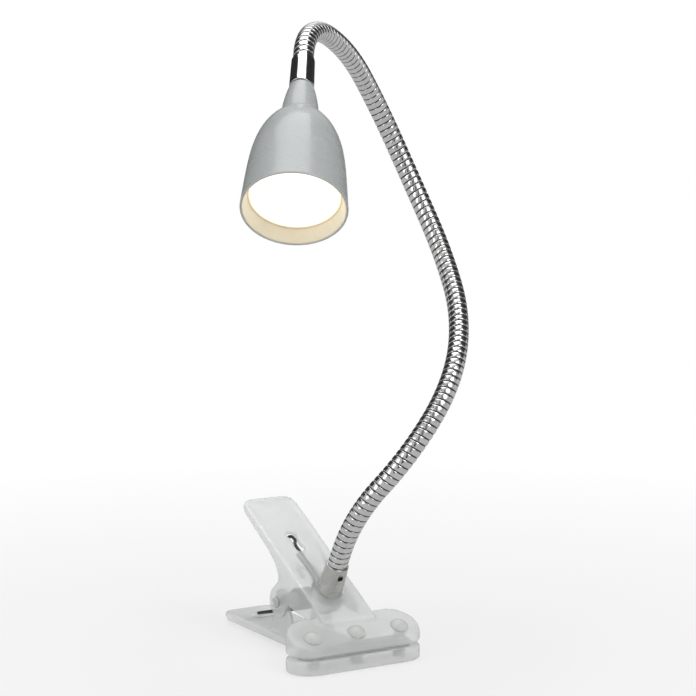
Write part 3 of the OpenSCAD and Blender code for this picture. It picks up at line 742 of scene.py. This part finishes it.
# ---------------------------------------------------------------- finishes of the kept CAD nodes
KEPT = {
    "lower_pad": M_PAD, "hinge_pin": M_ZINC, "spring_bush": M_BUSH, "set_screw": M_SCREW,
    "lock_washer": M_ZINC, "neck_nut": M_ZINC, "cord_grommet": M_RUBBER, "head_nipple": M_ZINC,
    "shade_nut": M_ZINC, "heat_sink": M_SINK, "led_board": M_BOARD, "led_chips": M_CHIP,
    "board_screws": M_ZINC, "led_leads": M_SHEATH}
for i in range(len(BENDS) + 1):
    KEPT[f"neck_core_{i}"] = M_CORE
    KEPT[f"neck_lead_{i}"] = M_SHEATH
for name, mat in KEPT.items():
    ob = nodes[name]
    if not ob.material_slots:
        ob.data.materials.append(mat)
    for slot in ob.material_slots:
        slot.material = mat

# ---------------------------------------------------------------- floor, light, camera
floor_mat, tree, s = new_material("studio_floor")
tree.links.new(ramp(tree, noise(tree, 2.0), ((0.3, 0.86), (0.7, 0.88))), s.inputs["Base Color"])
s.inputs["Roughness"].default_value = 0.6
s.inputs["Specular IOR Level"].default_value = 0.1
# the eye sees a glow that grows away from the lamp, up to the pale backdrop
spot = tree.nodes.new("ShaderNodeTexCoord")
far = tree.nodes.new("ShaderNodeVectorMath")
far.operation = "LENGTH"
tree.links.new(spot.outputs["Object"], far.inputs[0])
fade = spread(tree, far.outputs["Value"], 0.62, 1.0, 0.10, 0.60)
glow = tree.nodes.new("ShaderNodeEmission")
glow.inputs["Color"].default_value = (1, 1, 1, 1)
both = tree.nodes.new("ShaderNodeMixShader")
how = tree.nodes.new("ShaderNodeLightPath")
direct = tree.nodes.new("ShaderNodeMath")
direct.operation = "MULTIPLY"
tree.links.new(fade, direct.inputs[0])
tree.links.new(how.outputs["Is Camera Ray"], direct.inputs[1])
tree.links.new(direct.outputs[0], both.inputs[0])
# reflections see a plain grey floor
dim = tree.nodes.new("ShaderNodeEmission")
dim.inputs["Color"].default_value = (0.50, 0.50, 0.50, 1)
mirror = tree.nodes.new("ShaderNodeMixShader")
tree.links.new(how.outputs["Is Glossy Ray"], mirror.inputs[0])
tree.links.new(s.outputs["BSDF"], mirror.inputs[1])
tree.links.new(dim.outputs[0], mirror.inputs[2])
tree.links.new(mirror.outputs[0], both.inputs[1])
tree.links.new(glow.outputs[0], both.inputs[2])
surface = next(n for n in tree.nodes if n.type == "OUTPUT_MATERIAL").inputs["Surface"]
tree.links.new(both.outputs[0], surface)
FLOOR_R, FLOOR_Z, FLOOR_SIDES = 9000, -0.05, 96
angles = [2 * math.pi * k / FLOOR_SIDES for k in range(FLOOR_SIDES)]
floor_verts = [(0, 0, FLOOR_Z)]
floor_verts += [(FLOOR_R * math.cos(a), FLOOR_R * math.sin(a), FLOOR_Z) for a in angles]
floor_faces = [(0, 1 + k, 1 + (k + 1) % FLOOR_SIDES) for k in range(FLOOR_SIDES)]
floor = add_object("floor", floor_verts, floor_faces, smooth=False)
floor.data.materials.append(floor_mat)

world = bpy.data.worlds.new("studio")
bpy.context.scene.world = world
world.use_nodes = True
wt = world.node_tree
wt.nodes.clear()
out = wt.nodes.new("ShaderNodeOutputWorld")
seen = wt.nodes.new("ShaderNodeBackground")
felt = wt.nodes.new("ShaderNodeBackground")
mix = wt.nodes.new("ShaderNodeMixShader")
path = wt.nodes.new("ShaderNodeLightPath")
where = wt.nodes.new("ShaderNodeTexCoord")
split = wt.nodes.new("ShaderNodeSeparateXYZ")
angle = wt.nodes.new("ShaderNodeMath")
angle.operation = "ARCTAN2"
wt.links.new(where.outputs["Generated"], split.inputs[0])
wt.links.new(split.outputs["Y"], angle.inputs[0])
wt.links.new(split.outputs["X"], angle.inputs[1])
around = spread(wt, angle.outputs[0], 0.0, 1.0, -math.pi, math.pi)
# two rings of dark and bright panels, the higher one from 0.24 up, and a pale top from 0.86
# at 0 and 1 this looks to -X, at 0.25 to -Y, at 0.5 to +X and at 0.75 to +Y
low = ramp(wt, around, (
    (0.0, 0.85), (0.10, 0.80), (0.138, 0.85), (0.15, 0.04), (0.19, 0.04), (0.205, 0.95),
    (0.30, 0.80), (0.36, 0.60), (0.42, 0.85), (0.51, 0.75), (0.55, 0.05), (0.64, 0.05),
    (0.655, 0.6), (0.67, 0.6), (0.685, 0.05), (0.79, 0.05), (0.83, 0.85), (1.0, 0.85)))
middle = ramp(wt, around, (
    (0.0, 0.9), (0.13, 0.85), (0.15, 0.25), (0.19, 0.25), (0.22, 0.9), (0.38, 0.8), (0.41, 0.06),
    (0.57, 0.05), (0.60, 0.9), (0.70, 0.9), (0.74, 0.05), (0.90, 0.06), (0.93, 0.9)))


up = split.outputs["Z"]
sides = mixed(wt, spread(wt, up, 0.0, 1.0, 0.24, 0.32), low, middle)
sky = mixed(wt, spread(wt, up, 0.0, 1.0, 0.86, 0.93), sides, (0.97, 0.97, 0.97))
wt.links.new(sky, felt.inputs["Color"])
felt.inputs["Strength"].default_value = 0.62
seen.inputs["Color"].default_value = (1, 1, 1, 1)
seen.inputs["Strength"].default_value = 1.0
wt.links.new(path.outputs["Is Camera Ray"], mix.inputs[0])
wt.links.new(felt.outputs[0], mix.inputs[1])
wt.links.new(seen.outputs[0], mix.inputs[2])
wt.links.new(mix.outputs[0], out.inputs["Surface"])


def facing(at, aim):
    """The turn that makes a lamp or a camera at one place look at another."""
    return (Vector(aim) - Vector(at)).to_track_quat("-Z", "Y").to_euler()


def softbox(name, at, aim, size, power):
    data = bpy.data.lights.new(name, "AREA")
    data.shape = "RECTANGLE"
    data.size, data.size_y = size
    data.energy = power
    ob = bpy.data.objects.new(name, data)
    bpy.context.scene.collection.objects.link(ob)
    ob.location = at
    ob.rotation_euler = facing(at, aim)


softbox("key_box", (0.35, -1.3, 1.25), (0, 0, 0.12), (0.7, 0.9), 8.0)
softbox("left_box", (-1.5, -0.3, 0.7), (0, 0, 0.15), (0.6, 1.1), 4.0)
softbox("top_box", (0.1, 0.35, 1.6), (0, 0, 0.1), (1.2, 1.2), 8.0)

cam_data = bpy.data.cameras.new("photo_camera")
cam_data.sensor_width = 36.0
cam_data.lens = 121.0
cam_data.clip_start = 0.05
camera = bpy.data.objects.new("photo_camera", cam_data)
bpy.context.scene.collection.objects.link(camera)
camera.location = (-0.624, -1.0245, 0.326)
camera.rotation_euler = facing(camera.location, (-0.0076, -0.0069, 0.1693))
bpy.context.scene.camera = camera
bpy.context.scene.view_settings.view_transform = "Standard"

bpy.context.view_layer.update()
